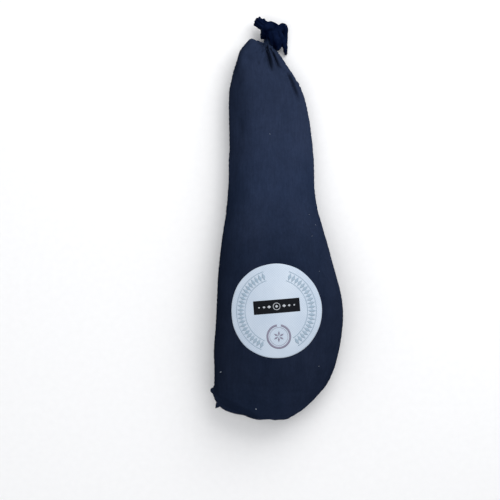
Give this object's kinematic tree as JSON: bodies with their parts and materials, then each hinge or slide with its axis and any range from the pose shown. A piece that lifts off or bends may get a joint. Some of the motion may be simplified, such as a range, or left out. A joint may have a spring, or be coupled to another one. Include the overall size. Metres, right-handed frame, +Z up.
{
  "type": "cured ham in a cloth bag",
  "caption": "Whole cured pork shoulder with its foot, lying flat in a dark cloth bag knotted shut at the foot end, with a round printed label on the thick end.",
  "frame": {"origin": "on the surface that it lies on, under the middle of the whole object's box", "axes": "+Y along its length from the thick end to the foot and the knot, +Z up from the side it lies on, +X to the right seen from above with the foot at the top"},
  "size_m": [0.2194, 0.6858, 0.1065],
  "materials": {
    "ham_rind": "cured rind and yellowed fat, slightly oily",
    "bag_cloth": "matt blue-black knitted cotton",
    "label_print": "matt white printed cloth"
  },
  "bodies": {
    "root": {"ham": "ham_rind", "cloth_bag": "bag_cloth", "round_label": "label_print"}
  },
  "joints": []
}
